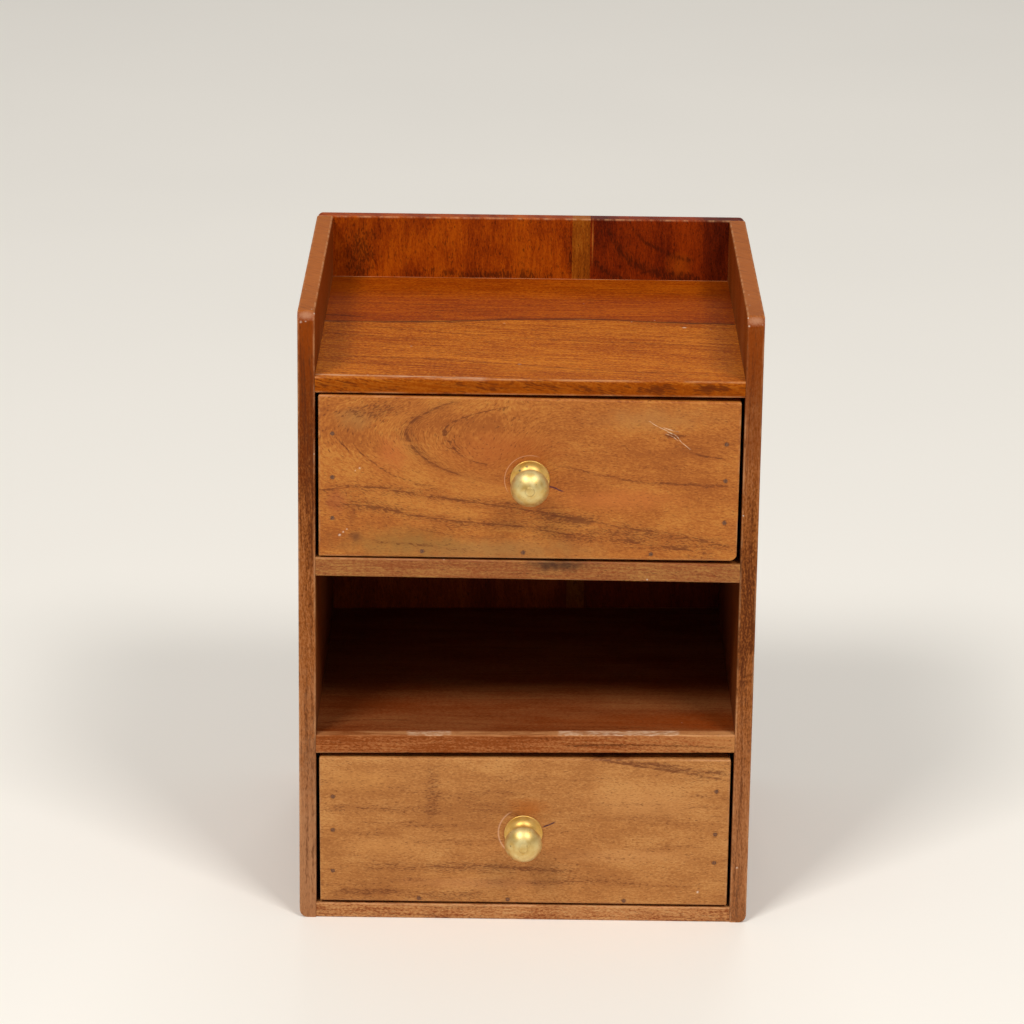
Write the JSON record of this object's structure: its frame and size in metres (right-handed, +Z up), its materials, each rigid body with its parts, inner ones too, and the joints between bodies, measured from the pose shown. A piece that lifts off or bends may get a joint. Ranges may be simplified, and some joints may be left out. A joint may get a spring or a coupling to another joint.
{
  "type": "desktop chest with drawers",
  "caption": "Small wooden desktop chest with inset drawers above and below an open compartment, a rimmed tray top and turned brass knobs to pull the drawers out.",
  "frame": {"origin": "middle of the case's underside, on the surface that it stands on", "axes": "+X to the right seen from the front, +Y from the drawer fronts to the back, +Z up"},
  "size_m": [0.23, 0.2264, 0.323],
  "materials": {
    "side_wood": "satin lacquer over brown stain",
    "top_wood": "satin lacquer over red-brown stain",
    "shelf_wood": "satin lacquer over brown stain",
    "back_wood": "satin lacquer over dark red-brown stain",
    "back_strip_wood": "satin lacquer over pale sapwood",
    "front_wood": "satin lacquer over honey brown wood",
    "box_wood": "bare sanded wood",
    "knob_brass": "turned and polished, lightly pitted",
    "stud_brass": "filed flush",
    "nut_steel": "zinc plated",
    "nail_steel": "bright drawn wire",
    "putty": "dark wood filler"
  },
  "bodies": {
    "case": {"side_left": "side_wood", "side_right": "side_wood", "top_plank_front": "top_wood", "top_plank_rear": "top_wood", "upper_shelf": "shelf_wood", "lower_shelf": "shelf_wood", "bottom_board": "shelf_wood", "back_plank_left": "back_wood", "back_strip": "back_strip_wood", "back_plank_right": "back_wood", "back_plank_end": "back_wood", "side_nails": "nail_steel", "side_putty": "putty", "back_nails": "nail_steel"},
    "upper_drawer": {"upper_front": "front_wood", "upper_box_left": "box_wood", "upper_box_right": "box_wood", "upper_box_back": "box_wood", "upper_box_bottom": "box_wood", "upper_knob": "knob_brass", "upper_knob_stud": "stud_brass", "upper_knob_washer": "nut_steel", "upper_knob_nut": "nut_steel", "upper_front_nails": "nail_steel", "upper_front_putty": "putty", "upper_box_nails": "nail_steel"},
    "lower_drawer": {"lower_front": "front_wood", "lower_box_left": "box_wood", "lower_box_right": "box_wood", "lower_box_back": "box_wood", "lower_box_bottom": "box_wood", "lower_knob": "knob_brass", "lower_knob_stud": "stud_brass", "lower_knob_washer": "nut_steel", "lower_knob_nut": "nut_steel", "lower_front_nails": "nail_steel", "lower_front_putty": "putty", "lower_box_nails": "nail_steel"}
  },
  "joints": [
    {"name": "upper_drawer_slide", "type": "slide", "parent": "case", "child": "upper_drawer", "axis": [0, -1, 0], "range_m": [0, 0.13]},
    {"name": "lower_drawer_slide", "type": "slide", "parent": "case", "child": "lower_drawer", "axis": [0, -1, 0], "range_m": [0, 0.13]}
  ]
}
